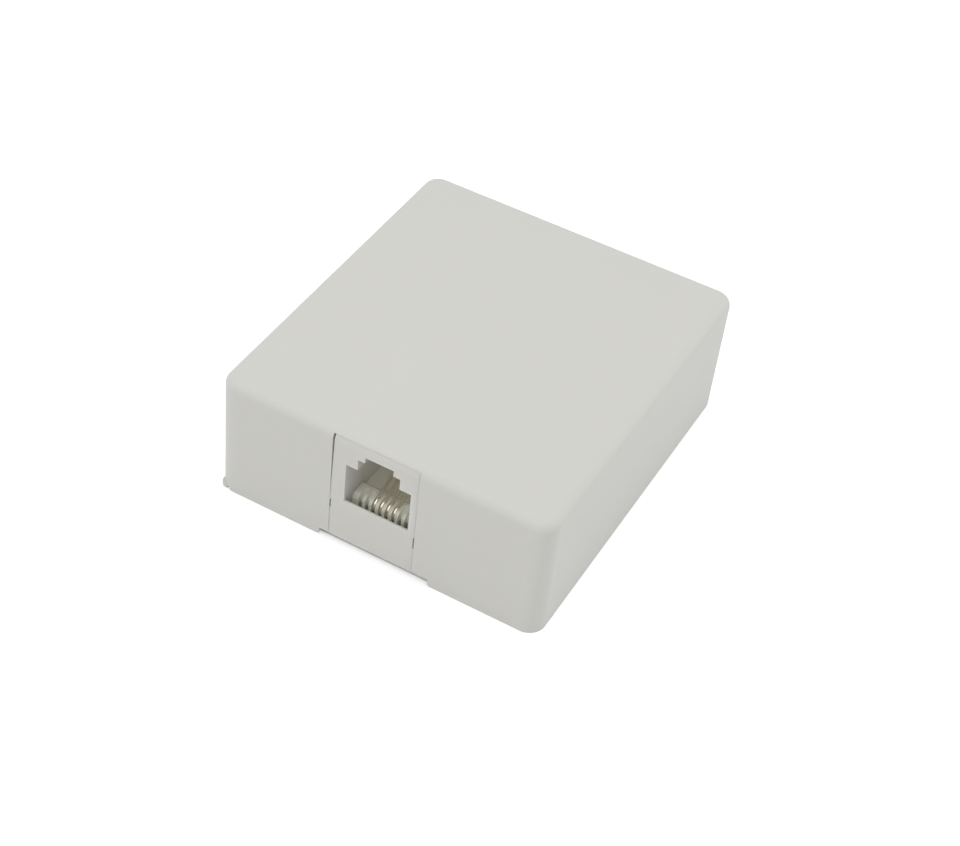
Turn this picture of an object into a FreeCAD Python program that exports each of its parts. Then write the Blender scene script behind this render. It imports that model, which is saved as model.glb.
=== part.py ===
import FreeCAD, Part
import math
import os
import Sketcher

# Surface mount jack box: a cover over a base plate with one modular jack and four screw terminals.
# Frame: millimetres, origin at the centre of the footprint, +Z up, the jack opens towards -Y.

SIZES = {
    # Outer form
    "box_width": 50.0,
    "box_depth": 56.5,
    "box_height": 20.0,
    "corner_radius": 2.5,
    "edge_radius": 1.5,
    "wall": 1.8,
    "roof": 1.5,
    # Front slot of the cover and the jack panel in it
    "slot_left": 7.1,
    "slot_right": 6.0,
    "slot_land": 0.58,
    "notch_width": 17.0,
    "notch_height": 1.15,
    "notch_rounding": 0.5,
    "panel_gap": 0.012,
    "panel_lean": 0.34,
    "relief_left_bottom": 6.1,
    "relief_right_bottom": 5.6,
    "relief_top": 7.65,
    "relief_gap": 0.2,
    # Moulding burr at the foot of the cover's front left corner
    "burr_inset": 1.08,
    "burr_radius": 0.9,
    "burr_height": 0.7,
    "nick_start": 0.3,
    "nick_width": 0.45,
    "nick_height": 0.45,
    "nick_depth": 0.6,
    # Stepped opening of the jack
    "opening_share": 0.5875,
    "opening_width": 9.85,
    "opening_height": 6.7,
    "shoulder_width": 6.35,
    "shoulder_height": 1.8,
    "latch_width": 4.3,
    "latch_height": 0.95,
    "lip_land": 0.3,
    "lip_drop": 2.0,
    # Jack housing
    "housing_depth": 17.4,
    "housing_wall": 1.0,
    "housing_floor": 1.4,
    "housing_air": 0.2,
    "latch_room_width": 6.5,
    "latch_room_depth": 12.0,
    "guide_rib_start": 8.0,
    "guide_rib_length": 1.5,
    "guide_rib_width": 1.1,
    "guide_rib_height": 11.0,
    # Contact carrier
    "carrier_gap": 0.06,
    "nose_start": 1.95,
    "nose_length": 2.6,
    "nose_drop": 0.2,
    "nose_height": 3.2,
    "nose_radius": 0.95,
    "well_depth": 1.0,
    "skirt": 0.8,
    "tower_start": 13.4,
    "tower_air": 0.2,
    "comb_depth": 1.5,
    "comb_rise": 1.0,
    "comb_pitch": 1.016,
    "comb_slots": 8,
    "comb_width": 0.56,
    # Contact wires
    "wire_radius": 0.23,
    "wire_slack": 0.02,
    "hook_radius": 1.2,
    "hook_depth": 3.5,
    "hook_sink": 0.04,
    "wire_slope": 22.0,
    "wire_end": 14.4,
    "wire_joint": 16.0,
    # Base plate
    "base_thickness": 2.0,
    "base_gap": 0.15,
    "tongue_gap": 0.2,
    "tongue_setback": 1.3,
    "tongue_thickness": 1.0,
    "rim_height": 2.5,
    "rim_thickness": 1.2,
    "rim_break": 10.5,
    "rail_gap": 0.1,
    "rail_wall": 1.4,
    "rail_height": 10.0,
    "mount_spacing": 32.0,
    "mount_hole": 4.2,
    "mount_ring": 8.4,
    "mount_ring_height": 1.5,
    "entry_width": 14.0,
    "entry_length": 9.0,
    "entry_inset": 11.25,
    # Cover posts and sockets
    "post_inset_x": 5.4,
    "post_inset_y": 5.35,
    "post_radius": 1.5,
    "post_bevel": 0.5,
    "post_height": 10.0,
    "post_fit": 0.05,
    "socket_size": 6.4,
    "socket_bottom": 8.0,
    "knockout_width": 11.0,
    "knockout_height": 8.0,
    "knockout_skin": 0.6,
    "roof_rib": 0.9,
    "roof_rib_depth": 1.0,
    "roof_rib_spacing": 14.0,
    # Terminals
    "terminal_inset": 9.5,
    "terminal_front_inset": 14.25,
    "terminal_rear_inset": 16.25,
    "tower_size": 9.4,
    "tower_height": 7.0,
    "tower_corner": 0.8,
    "plate_size": 8.0,
    "plate_corner": 0.5,
    "plate_thickness": 1.0,
    "plate_gap": 0.05,
    "screw_radius": 1.75,
    "screw_fit": 0.05,
    "screw_length": 7.0,
    "screw_well_air": 0.8,
    "screw_point": 0.6,
    "screw_turn": 25.0,
    "head_radius": 3.1,
    "head_height": 2.0,
    "head_bevel": 0.7,
    "slot_width": 0.9,
    "slot_depth": 1.1,
    "washer_radius": 3.5,
    "washer_thickness": 0.8,
    "washer_bevel": 0.2,
    # Spade lugs and leads
    "lug_radius": 3.3,
    "lug_slot": 3.8,
    "lug_thickness": 0.6,
    "lug_neck": 1.9,
    "barrel_start": 4.3,
    "barrel_length": 4.2,
    "barrel_radius": 1.05,
    "lead_radius": 0.45,
    "lead_fit": 0.05,
    "lead_grip": 2.4,
    "front_lug_turn": 20.0,
    "front_lead_run": 6.75,
    "front_knee_aside": 3.6,
    "front_knee_beyond": 14.5,
    "front_knee_rise": 2.44,
    "front_crest_aside": 9.2,
    "front_crest_beyond": 15.5,
    "front_lead_reach": 6.4,
    "rear_lug_turn": 75.0,
    "rear_lead_run": 7.25,
    "rear_knee_aside": 0.6,
    "rear_knee_beyond": 14.75,
    "rear_knee_rise": 2.04,
    "rear_lead_pass": 0.95,
}

TERMINALS = ["front_left", "rear_left", "rear_right", "front_right"]
LEADS = ["black", "red", "green", "yellow"]


class Size:
    """A number together with the sheet formula that gives it."""

    def __init__(self, value, formula=None):
        self.value = float(value)
        self.formula = formula or f"{float(value)}"

    def join(self, other, sign, value):
        return Size(value, f"({self.formula} {sign} {other.formula})")

    def __add__(self, other):
        other = as_size(other)
        return self.join(other, "+", self.value + other.value)

    def __sub__(self, other):
        other = as_size(other)
        return self.join(other, "-", self.value - other.value)

    def __mul__(self, other):
        other = as_size(other)
        return self.join(other, "*", self.value * other.value)

    def __truediv__(self, other):
        other = as_size(other)
        return self.join(other, "/", self.value / other.value)

    def __radd__(self, other):
        return as_size(other) + self

    def __rsub__(self, other):
        return as_size(other) - self

    def __rmul__(self, other):
        return as_size(other) * self

    def __neg__(self):
        return 0 - self


def as_size(number):
    return number if isinstance(number, Size) else Size(number)


def sine(angle):
    return Size(math.sin(math.radians(angle.value)), f"sin({angle.formula})")


def cosine(angle):
    return Size(math.cos(math.radians(angle.value)), f"cos({angle.formula})")


def larger(first, second):
    second = as_size(second)
    return Size(max(first.value, second.value), f"max({first.formula}; {second.formula})")


class Sizes:
    """The driving sizes by name, each tied to its cell."""

    def __init__(self, sheet, table):
        for row, (name, value) in enumerate(table.items(), 1):
            sheet.set(f"A{row}", name)
            sheet.set(f"B{row}", str(value))
            sheet.setAlias(f"B{row}", name)
            setattr(self, name, Size(value, f"Sizes.{name}"))


doc = FreeCAD.newDocument("SurfaceMountJackBox")
sheet = doc.addObject("Spreadsheet::Sheet", "Sizes")
size = Sizes(sheet, SIZES)
doc.recompute()

# Places that several pieces share
FRONT = -size.box_depth / 2
REAR = size.box_depth / 2
INNER_X = size.box_width / 2 - size.wall
INNER_Y = size.box_depth / 2 - size.wall
CEILING = size.box_height - size.roof
SLOT_TOP = size.box_height - size.slot_land
OPENING_BOTTOM = size.opening_share * size.box_height - size.opening_height / 2
OPENING_TOP = OPENING_BOTTOM + size.opening_height
SHOULDER_TOP = OPENING_TOP + size.shoulder_height
LATCH_TOP = SHOULDER_TOP + size.latch_height
HOUSING_HALF = size.opening_width / 2 + size.housing_wall
HOUSING_REAR = FRONT + size.housing_depth
HOUSING_FLOOR = size.base_thickness + size.housing_floor
HOUSING_TOP = CEILING - size.housing_air
CARRIER_HALF = size.opening_width / 2 - size.carrier_gap
NOSE_FRONT = FRONT + size.nose_start
NOSE_TOP = OPENING_BOTTOM - size.nose_drop
DECK_BOTTOM = NOSE_TOP - size.nose_height
WELL_FLOOR = NOSE_TOP - size.well_depth
HOOK_Y = FRONT + size.hook_depth
HOOK_HEIGHT = NOSE_TOP - size.hook_radius - size.hook_sink
WIRE_LEVEL = HOOK_HEIGHT - size.hook_radius
WIRE_JOINT = FRONT + size.wire_joint
FIRST_SLOT = -size.comb_pitch * (size.comb_slots - 1) / 2
TERMINAL_X = size.box_width / 2 - size.terminal_inset
TERMINAL_Y = {"front": FRONT + size.terminal_front_inset, "rear": REAR - size.terminal_rear_inset}
TERMINAL_LEVEL = size.base_thickness + size.tower_height
SCREW_SEAT = TERMINAL_LEVEL + size.lug_thickness + size.washer_thickness
POST_X = size.box_width / 2 - size.post_inset_x
POST_Y = size.box_depth / 2 - size.post_inset_y
POSTS = [(side_x * POST_X, side_y * POST_Y) for side_x in (-1, 1) for side_y in (-1, 1)]


# Sketch and feature helpers

def new_body(label):
    body = doc.addObject("PartDesign::Body", label)
    body.Label = label
    return body


def origin_feature(body, role):
    return next(feature for feature in body.Origin.OriginFeatures if feature.Role == role)


def new_sketch(body, name, role, offset=0):
    """An empty sketch on one of the body's origin planes, moved along the plane's normal."""
    sketch = body.newObject("Sketcher::SketchObject", f"{body.Label}_{name}")
    sketch.AttachmentSupport = (origin_feature(body, role), [""])
    sketch.MapMode = "FlatFace"
    sketch.setExpression("AttachmentOffset.Base.z", as_size(offset).formula)
    return sketch


def flat(point):
    return FreeCAD.Vector(point[0].value, point[1].value, 0)


def tie(sketch, kind, edge, vertex, distance):
    """Hold one vertex at its distance from the sketch origin."""
    index = sketch.addConstraint(Sketcher.Constraint(kind, -1, 1, edge, vertex, distance.value))
    sketch.setExpression(f"Constraints[{index}]", distance.formula)


def arc_between(start, end, centre, clockwise):
    """The arc and which of its ends is the first corner."""
    first, last = (end, start) if clockwise else (start, end)
    angles = [math.atan2(p.y - centre.y, p.x - centre.x) for p in (first, last)]
    circle = Part.Circle(centre, FreeCAD.Vector(0, 0, 1), (start - centre).Length)
    return Part.ArcOfCircle(circle, *angles), 2 if clockwise else 1


def outline(sketch, corners, arcs=None, closed=True):
    """Lines through the corners; arcs maps a side's number to (centre, clockwise)."""
    corners = [(as_size(u), as_size(v)) for u, v in corners]
    count = len(corners) if closed else len(corners) - 1
    sides = []
    for k in range(count):
        start, end = flat(corners[k]), flat(corners[(k + 1) % len(corners)])
        if arcs and k in arcs:
            (centre_u, centre_v), clockwise = arcs[k]
            centre = (as_size(centre_u), as_size(centre_v))
            arc, first = arc_between(start, end, flat(centre), clockwise)
            edge = sketch.addGeometry(arc)
            chord = end - start
            if abs(chord.x) > abs(chord.y):
                tie(sketch, "DistanceY", edge, 3, centre[1])
            else:
                tie(sketch, "DistanceX", edge, 3, centre[0])
        else:
            edge, first = sketch.addGeometry(Part.LineSegment(start, end)), 1
        sides.append((edge, first, 3 - first))
    for k, (edge, first, last) in enumerate(sides):
        tie(sketch, "DistanceX", edge, first, corners[k][0])
        tie(sketch, "DistanceY", edge, first, corners[k][1])
        if closed or k + 1 < count:
            following = sides[(k + 1) % count]
            sketch.addConstraint(Sketcher.Constraint("Coincident", edge, last, following[0], following[1]))
    if not closed:
        edge, first, last = sides[-1]
        tie(sketch, "DistanceX", edge, last, corners[-1][0])
        tie(sketch, "DistanceY", edge, last, corners[-1][1])
    return sketch


def rectangle(sketch, low_u, high_u, low_v, high_v):
    return outline(sketch, [(low_u, low_v), (high_u, low_v), (high_u, high_v), (low_u, high_v)])


def centred_square(sketch, centre, side):
    u, v = centre
    half = side / 2
    return rectangle(sketch, u - half, u + half, v - half, v + half)


def circle(sketch, centre, radius):
    u, v = (as_size(c) for c in centre)
    edge = sketch.addGeometry(Part.Circle(flat((u, v)), FreeCAD.Vector(0, 0, 1), radius.value))
    tie(sketch, "DistanceX", edge, 3, u)
    tie(sketch, "DistanceY", edge, 3, v)
    index = sketch.addConstraint(Sketcher.Constraint("Radius", edge, radius.value))
    sketch.setExpression(f"Constraints[{index}]", radius.formula)
    return sketch


def extrude(body, kind, sketch, length, forward, symmetric):
    feature = body.newObject(f"PartDesign::{kind}", f"{sketch.Name}_{kind}")
    feature.Profile = sketch
    feature.SideType = "Symmetric" if symmetric else "One side"
    feature.Reversed = forward == (kind == "Pocket")
    feature.setExpression("Length", as_size(length).formula)
    sketch.Visibility = False
    return feature


def pad(body, sketch, length, forward=True, symmetric=False):
    """Material along the plane's normal, or against it."""
    return extrude(body, "Pad", sketch, length, forward, symmetric)


def pocket(body, sketch, length, forward=True, symmetric=False):
    """A cut along the plane's normal, or against it."""
    return extrude(body, "Pocket", sketch, length, forward, symmetric)


def dress_edges(body, kind, amount, wanted):
    doc.recompute()
    base = body.Tip
    names = [f"Edge{k}" for k, edge in enumerate(base.Shape.Edges, 1) if wanted(edge)]
    feature = body.newObject(f"PartDesign::{kind}", f"{base.Name}_{kind}")
    feature.Base = (base, names)
    feature.setExpression("Radius" if kind == "Fillet" else "Size", as_size(amount).formula)
    return feature


def round_edges(body, radius, wanted):
    """Fillet those edges of the body's last feature that the test picks."""
    return dress_edges(body, "Fillet", radius, wanted)


def bevel_edges(body, width, wanted):
    """Chamfer those edges of the body's last feature that the test picks."""
    return dress_edges(body, "Chamfer", width, wanted)


def near(first, second):
    return abs(first - second) < 1e-4


def is_upright(edge, x=None, y=None):
    """A vertical edge, at a distance from the centre planes where one is given."""
    box = edge.BoundBox
    if box.XLength > 1e-6 or box.YLength > 1e-6:
        return False
    return (x is None or near(abs(box.XMin), x.value)) and (y is None or near(abs(box.YMin), y.value))


def is_level(edge, z):
    box = edge.BoundBox
    return near(box.ZMin, z.value) and near(box.ZMax, z.value)


# The cover

def make_cover():
    body = new_body("cover")
    block = new_sketch(body, "block", "XY_Plane")
    pad(body, rectangle(block, -size.box_width / 2, size.box_width / 2, FRONT, REAR), size.box_height)
    round_edges(body, size.corner_radius, is_upright)
    round_edges(body, size.edge_radius, lambda edge: is_level(edge, size.box_height))
    hollow = new_sketch(body, "hollow", "XY_Plane")
    pocket(body, rectangle(hollow, -INNER_X, INNER_X, -INNER_Y, INNER_Y), CEILING)
    round_edges(body, larger(size.corner_radius - size.wall, 0.2),
                lambda edge: is_upright(edge, INNER_X, INNER_Y))
    cut_jack_slot(body)
    add_burr(body)
    add_sockets(body)
    add_roof_ribs(body)
    cut_knockout(body)
    return body


def cut_jack_slot(body):
    """The slot that slides down over the jack panel, and the notch for prying in the rim."""
    slot = new_sketch(body, "slot", "XZ_Plane", -FRONT)
    pocket(body, rectangle(slot, -size.slot_left, size.slot_right, 0, SLOT_TOP), size.wall, forward=False)
    half = size.notch_width / 2
    notch = new_sketch(body, "notch", "XZ_Plane", -FRONT)
    pocket(body, rectangle(notch, -half, half, 0, size.notch_height), size.wall, forward=False)

    def is_notch_corner(edge):
        box = edge.BoundBox
        flat_y = near(box.YLength, size.wall.value) and box.XLength < 1e-6 and box.ZLength < 1e-6
        return flat_y and near(abs(box.XMin), half.value) and near(box.ZMin, 0)

    round_edges(body, size.notch_rounding, is_notch_corner)


def add_burr(body):
    """Flash at the foot of the front left corner, with a nick where it meets the wall."""
    x, y = size.burr_inset - size.box_width / 2, FRONT + size.burr_inset
    burr = new_sketch(body, "burr", "XY_Plane")
    pad(body, circle(burr, (x, y), size.burr_radius), size.burr_height)
    nick = new_sketch(body, "nick", "XZ_Plane", -FRONT)
    start = x + size.nick_start
    rectangle(nick, start, start + size.nick_width, 0, size.nick_height)
    pocket(body, nick, size.nick_depth, forward=False)


def add_sockets(body):
    """Corner blocks under the roof whose bores grip the posts of the base."""
    half = size.socket_size / 2
    blocks = new_sketch(body, "sockets", "XY_Plane", size.socket_bottom)
    for x, y in POSTS:
        side_x, side_y = math.copysign(1, x.value), math.copysign(1, y.value)
        xs = [x - side_x * half, side_x * (INNER_X + size.wall / 2)]
        ys = [y - side_y * half, side_y * (INNER_Y + size.wall / 2)]
        low_x, high_x = sorted(xs, key=lambda s: s.value)
        low_y, high_y = sorted(ys, key=lambda s: s.value)
        rectangle(blocks, low_x, high_x, low_y, high_y)
    pad(body, blocks, CEILING + size.roof / 2 - size.socket_bottom)
    bores = new_sketch(body, "bores", "XY_Plane", size.socket_bottom)
    for post in POSTS:
        circle(bores, post, size.post_radius + size.post_fit)
    depth = size.base_thickness + size.post_height - size.socket_bottom + 1
    pocket(body, bores, depth)


def add_roof_ribs(body):
    reach = INNER_X + size.wall / 2
    half_rib = size.roof_rib / 2
    ribs = new_sketch(body, "roof_ribs", "XY_Plane", CEILING - size.roof_rib_depth)
    for side in (-1, 1):
        y = side * size.roof_rib_spacing / 2
        rectangle(ribs, -reach, reach, y - half_rib, y + half_rib)
    pad(body, ribs, size.roof_rib_depth + size.roof / 2)


def cut_knockout(body):
    """A thin patch in the rear wall that is broken out for a surface cable."""
    half = size.knockout_width / 2
    patch = new_sketch(body, "knockout", "XZ_Plane", size.knockout_skin - REAR)
    pocket(body, rectangle(patch, -half, half, 0, size.knockout_height), size.wall - size.knockout_skin)


# The base plate

def make_base_plate():
    body = new_body("base_plate")
    half_x, half_y = INNER_X - size.base_gap, INNER_Y - size.base_gap
    plate = new_sketch(body, "plate", "XY_Plane")
    pad(body, rectangle(plate, -half_x, half_x, -half_y, half_y), size.base_thickness)
    add_rim(body, half_x, half_y)
    add_tongue(body, half_y)
    add_terminal_towers(body)
    add_posts(body)
    add_rails(body)
    cut_mounting_holes(body)
    cut_cable_entry(body)
    return body


def add_rim(body, half_x, half_y):
    """A low rib around the plate, open at the jack and at the cable's way in."""
    rim = new_sketch(body, "rim", "XY_Plane", size.base_thickness)
    rectangle(rim, -half_x, half_x, -half_y, half_y)
    in_x, in_y = half_x - size.rim_thickness, half_y - size.rim_thickness
    pad(body, rectangle(rim, -in_x, in_x, -in_y, in_y), size.rim_height)
    round_edges(body, larger(size.corner_radius - size.wall - size.base_gap, 0.2),
                lambda edge: is_upright(edge, half_x, half_y))
    breaks = new_sketch(body, "rim_breaks", "XY_Plane", size.base_thickness)
    rectangle(breaks, -size.rim_break, size.rim_break, -half_y - 1, half_y + 1)
    pocket(body, breaks, size.rim_height + 1)


def add_tongue(body, half_y):
    """The lip that shows in the notch and backs the tool that pries the cover off."""
    half = size.notch_width / 2 - size.tongue_gap
    tongue = new_sketch(body, "tongue", "XY_Plane")
    rectangle(tongue, -half, half, FRONT + size.tongue_setback, 1 - half_y)
    pad(body, tongue, size.tongue_thickness)


def terminal_side(name):
    return -1 if name.endswith("left") else 1


def terminal_place(name):
    return terminal_side(name) * TERMINAL_X, TERMINAL_Y[name.split("_")[0]]


def add_terminal_towers(body):
    towers = new_sketch(body, "towers", "XY_Plane", size.base_thickness)
    seats = new_sketch(body, "seats", "XY_Plane", TERMINAL_LEVEL - size.plate_thickness)
    wells = new_sketch(body, "wells", "XY_Plane", SCREW_SEAT - size.screw_length - size.screw_well_air)
    for name in TERMINALS:
        place = terminal_place(name)
        centred_square(towers, place, size.tower_size)
        centred_square(seats, place, size.plate_size + 2 * size.plate_gap)
        circle(wells, place, size.screw_radius + 4 * size.screw_fit)
    pad(body, towers, size.tower_height)
    round_edges(body, size.tower_corner,
                lambda edge: is_upright(edge) and near(edge.BoundBox.ZMax, TERMINAL_LEVEL.value))
    pocket(body, seats, size.plate_thickness + 1)
    pocket(body, wells, size.tower_height)


def add_posts(body):
    posts = new_sketch(body, "posts", "XY_Plane", size.base_thickness)
    for post in POSTS:
        circle(posts, post, size.post_radius)
    pad(body, posts, size.post_height)
    bevel_edges(body, size.post_bevel, lambda edge: is_level(edge, size.base_thickness + size.post_height))


def add_rails(body):
    """Grooved uprights either side of the jack that hold its guide ribs."""
    rib_start = FRONT + size.guide_rib_start
    inner = HOUSING_HALF + size.rail_gap
    groove = HOUSING_HALF + size.guide_rib_width + size.rail_gap
    rails = new_sketch(body, "rails", "XY_Plane", size.base_thickness)
    grooves = new_sketch(body, "grooves", "XY_Plane", size.base_thickness)
    low = rib_start - size.rail_wall
    high = rib_start + size.guide_rib_length + size.rail_wall
    groove_low = rib_start - size.rail_gap
    groove_high = rib_start + size.guide_rib_length + size.rail_gap
    rectangle(rails, inner, groove + size.rail_wall, low, high)
    rectangle(rails, -groove - size.rail_wall, -inner, low, high)
    rectangle(grooves, inner - 1, groove, groove_low, groove_high)
    rectangle(grooves, -groove, 1 - inner, groove_low, groove_high)
    pad(body, rails, size.rail_height)
    pocket(body, grooves, size.rail_height + 1)


def cut_mounting_holes(body):
    rings = new_sketch(body, "rings", "XY_Plane", size.base_thickness)
    holes = new_sketch(body, "holes", "XY_Plane")
    for side in (-1, 1):
        place = (side * size.mount_spacing / 2, (TERMINAL_Y["front"] + TERMINAL_Y["rear"]) / 2)
        circle(rings, place, size.mount_ring / 2)
        circle(holes, place, size.mount_hole / 2)
    pad(body, rings, size.mount_ring_height)
    pocket(body, holes, size.base_thickness + size.mount_ring_height + 1)


def cut_cable_entry(body):
    half_x, half_y = size.entry_width / 2, size.entry_length / 2
    middle = REAR - size.entry_inset
    hole = new_sketch(body, "entry", "XY_Plane")
    rectangle(hole, -half_x, half_x, middle - half_y, middle + half_y)
    pocket(body, hole, size.base_thickness)
    round_edges(body, size.entry_length / 4,
                lambda edge: is_upright(edge, half_x) and edge.BoundBox.ZMin < 1e-6)


# The jack

def make_jack_housing():
    body = new_body("jack_housing")
    block = new_sketch(body, "block", "XY_Plane", size.base_thickness)
    rectangle(block, -HOUSING_HALF, HOUSING_HALF, FRONT + size.wall, HOUSING_REAR)
    pad(body, block, HOUSING_TOP - size.base_thickness)
    add_panel(body)
    add_guide_ribs(body)
    half = size.opening_width / 2
    cavity = new_sketch(body, "cavity", "XZ_Plane", -HOUSING_REAR)
    rectangle(cavity, -half, half, HOUSING_FLOOR, OPENING_TOP)
    pocket(body, cavity, size.housing_depth - size.wall)
    half_latch = size.latch_room_width / 2
    room = new_sketch(body, "latch_room", "XY_Plane", OPENING_TOP - 1)
    rectangle(room, -half_latch, half_latch, FRONT + size.wall, FRONT + size.latch_room_depth)
    pocket(body, room, HOUSING_TOP - OPENING_TOP + 2)
    cut_opening(body)
    return body


def add_panel(body):
    """The flush panel: tight at its foot, relieved above it, and leaning off the slot's left side."""
    left, right = size.panel_gap - size.slot_left, size.slot_right - size.panel_gap
    top = size.box_height
    panel = new_sketch(body, "panel", "XZ_Plane", -FRONT)
    outline(panel, [
        (left, size.notch_height), (right, size.notch_height),
        (right, size.relief_right_bottom), (right - size.relief_gap, size.relief_right_bottom),
        (right - size.relief_gap, size.relief_top), (right, size.relief_top),
        (right, top), (left + size.panel_lean, top),
        (left, size.relief_top), (left + size.relief_gap, size.relief_top),
        (left + size.relief_gap, size.relief_left_bottom), (left, size.relief_left_bottom),
    ])
    pad(body, panel, size.wall, forward=False)

    def is_front_top(edge):
        return is_level(edge, size.box_height) and near(edge.BoundBox.YMax, FRONT.value)

    round_edges(body, size.edge_radius, is_front_top)
    trim = new_sketch(body, "panel_trim", "XZ_Plane", -FRONT)
    rectangle(trim, -size.slot_left - 1, size.slot_right + 1, SLOT_TOP - size.panel_gap, top + 1)
    pocket(body, trim, size.wall, forward=False)


def add_guide_ribs(body):
    start = FRONT + size.guide_rib_start
    end = start + size.guide_rib_length
    reach = HOUSING_HALF + size.guide_rib_width
    ribs = new_sketch(body, "guide_ribs", "XY_Plane", size.base_thickness)
    rectangle(ribs, HOUSING_HALF - size.housing_wall / 2, reach, start, end)
    rectangle(ribs, -reach, size.housing_wall / 2 - HOUSING_HALF, start, end)
    pad(body, ribs, size.guide_rib_height)


def cut_opening(body):
    """The stepped mouth of a six-position modular jack, with its lip cut back towards the comb."""
    half, shoulder, latch = size.opening_width / 2, size.shoulder_width / 2, size.latch_width / 2
    mouth = new_sketch(body, "mouth", "XZ_Plane", -FRONT)
    outline(mouth, [
        (-half, OPENING_BOTTOM), (half, OPENING_BOTTOM), (half, OPENING_TOP),
        (shoulder, OPENING_TOP), (shoulder, SHOULDER_TOP), (latch, SHOULDER_TOP),
        (latch, LATCH_TOP), (-latch, LATCH_TOP), (-latch, SHOULDER_TOP),
        (-shoulder, SHOULDER_TOP), (-shoulder, OPENING_TOP), (-half, OPENING_TOP),
    ])
    pocket(body, mouth, size.wall, forward=False)
    lip = new_sketch(body, "lip", "YZ_Plane")
    outline(lip, [
        (FRONT + size.lip_land, OPENING_BOTTOM), (FRONT + size.wall, OPENING_BOTTOM),
        (FRONT + size.wall, OPENING_BOTTOM - size.lip_drop),
    ])
    pocket(body, lip, size.opening_width, symmetric=True)


# The contact carrier and its wires

def make_contact_carrier():
    body = new_body("contact_carrier")
    nose_rear = NOSE_FRONT + size.nose_length
    tower = FRONT + size.tower_start
    tower_top = OPENING_TOP - size.tower_air
    side = new_sketch(body, "side", "YZ_Plane")
    outline(side, [
        (NOSE_FRONT, DECK_BOTTOM), (HOUSING_REAR, DECK_BOTTOM), (HOUSING_REAR, tower_top),
        (tower, tower_top), (tower, WELL_FLOOR), (nose_rear + size.well_depth, WELL_FLOOR),
        (nose_rear, NOSE_TOP), (NOSE_FRONT, NOSE_TOP),
    ])
    pad(body, side, 2 * CARRIER_HALF, symmetric=True)
    add_skirts(body)

    def is_nose_edge(edge):
        box = edge.BoundBox
        return near(box.YMax, NOSE_FRONT.value) and near(box.ZMin, NOSE_TOP.value)

    round_edges(body, size.nose_radius, is_nose_edge)
    cut_lead_room(body)
    cut_comb(body, tower, tower_top)
    return body


def add_skirts(body):
    """Runners under the deck that stand on the housing's floor."""
    skirts = new_sketch(body, "skirts", "XY_Plane", HOUSING_FLOOR)
    low, high = NOSE_FRONT + size.nose_radius, HOUSING_REAR
    rectangle(skirts, CARRIER_HALF - size.skirt, CARRIER_HALF, low, high)
    rectangle(skirts, -CARRIER_HALF, size.skirt - CARRIER_HALF, low, high)
    pad(body, skirts, DECK_BOTTOM - HOUSING_FLOOR)


def cut_lead_room(body):
    """The open pocket at the rear where the leads join the wires."""
    half = 1.5 * size.comb_pitch + size.lead_radius + size.lead_fit
    room = new_sketch(body, "lead_room", "XZ_Plane", -HOUSING_REAR)
    top = WIRE_LEVEL + size.lead_radius + size.lead_fit
    rectangle(room, -half, half, HOUSING_FLOOR, top)
    pocket(body, room, HOUSING_REAR - WIRE_JOINT)


def cut_comb(body, tower, tower_top):
    """Slots round the nose and down the tower, the hook's core left standing, repeated at the pitch."""
    core = size.hook_radius - size.wire_radius - size.wire_slack
    groove = HOOK_HEIGHT - core
    lift_y = HOOK_Y - core * sine(size.wire_slope)
    lift_z = HOOK_HEIGHT + core * cosine(size.wire_slope)
    run = size.nose_length + size.well_depth
    out_y = lift_y + run * cosine(size.wire_slope)
    out_z = lift_z + run * sine(size.wire_slope)
    hook = new_sketch(body, "hook_slot", "YZ_Plane", FIRST_SLOT)
    outline(hook, [
        (WIRE_JOINT, groove), (HOOK_Y, groove), (lift_y, lift_z), (out_y, out_z),
        (NOSE_FRONT - 1, out_z), (NOSE_FRONT - 1, HOUSING_FLOOR), (WIRE_JOINT, HOUSING_FLOOR),
    ], arcs={1: ((HOOK_Y, HOOK_HEIGHT), True)})
    hook_cut = pocket(body, hook, size.comb_width, symmetric=True)
    guide = new_sketch(body, "guide_slot", "YZ_Plane", FIRST_SLOT)
    rectangle(guide, tower - 1, tower + size.comb_depth, NOSE_TOP + size.comb_rise, tower_top + 1)
    guide_cut = pocket(body, guide, size.comb_width, symmetric=True)
    pattern = body.newObject("PartDesign::LinearPattern", "comb_pattern")
    pattern.Originals = [hook_cut, guide_cut]
    pattern.Direction = (origin_feature(body, "X_Axis"), [""])
    pattern.setExpression("Length", (size.comb_pitch * (size.comb_slots - 1)).formula)
    pattern.setExpression("Occurrences", size.comb_slots.formula)
    body.Tip = pattern


def wire_place(number):
    """The distance of a wire from the centre plane; the four fill the middle slots."""
    return (number - 2.5) * size.comb_pitch


def make_contact_wire(number):
    """A round gold wire: under the deck, round the nose and up into the tower's comb."""
    body = new_body(f"contact_wire_{number}")
    lift_y = HOOK_Y - size.hook_radius * sine(size.wire_slope)
    lift_z = HOOK_HEIGHT + size.hook_radius * cosine(size.wire_slope)
    end_y = FRONT + size.wire_end
    end_z = lift_z + (end_y - lift_y) * sine(size.wire_slope) / cosine(size.wire_slope)
    path = new_sketch(body, "path", "YZ_Plane", wire_place(number))
    outline(path, [
        (WIRE_JOINT, WIRE_LEVEL), (HOOK_Y, WIRE_LEVEL), (lift_y, lift_z), (end_y, end_z),
    ], arcs={1: ((HOOK_Y, HOOK_HEIGHT), True)}, closed=False)
    section = new_sketch(body, "section", "XZ_Plane", -WIRE_JOINT)
    circle(section, (wire_place(number), WIRE_LEVEL), size.wire_radius)
    pipe = body.newObject("PartDesign::AdditivePipe", f"{body.Label}_Pipe")
    pipe.Profile = section
    pipe.Spine = path
    return body


# Terminals

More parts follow.
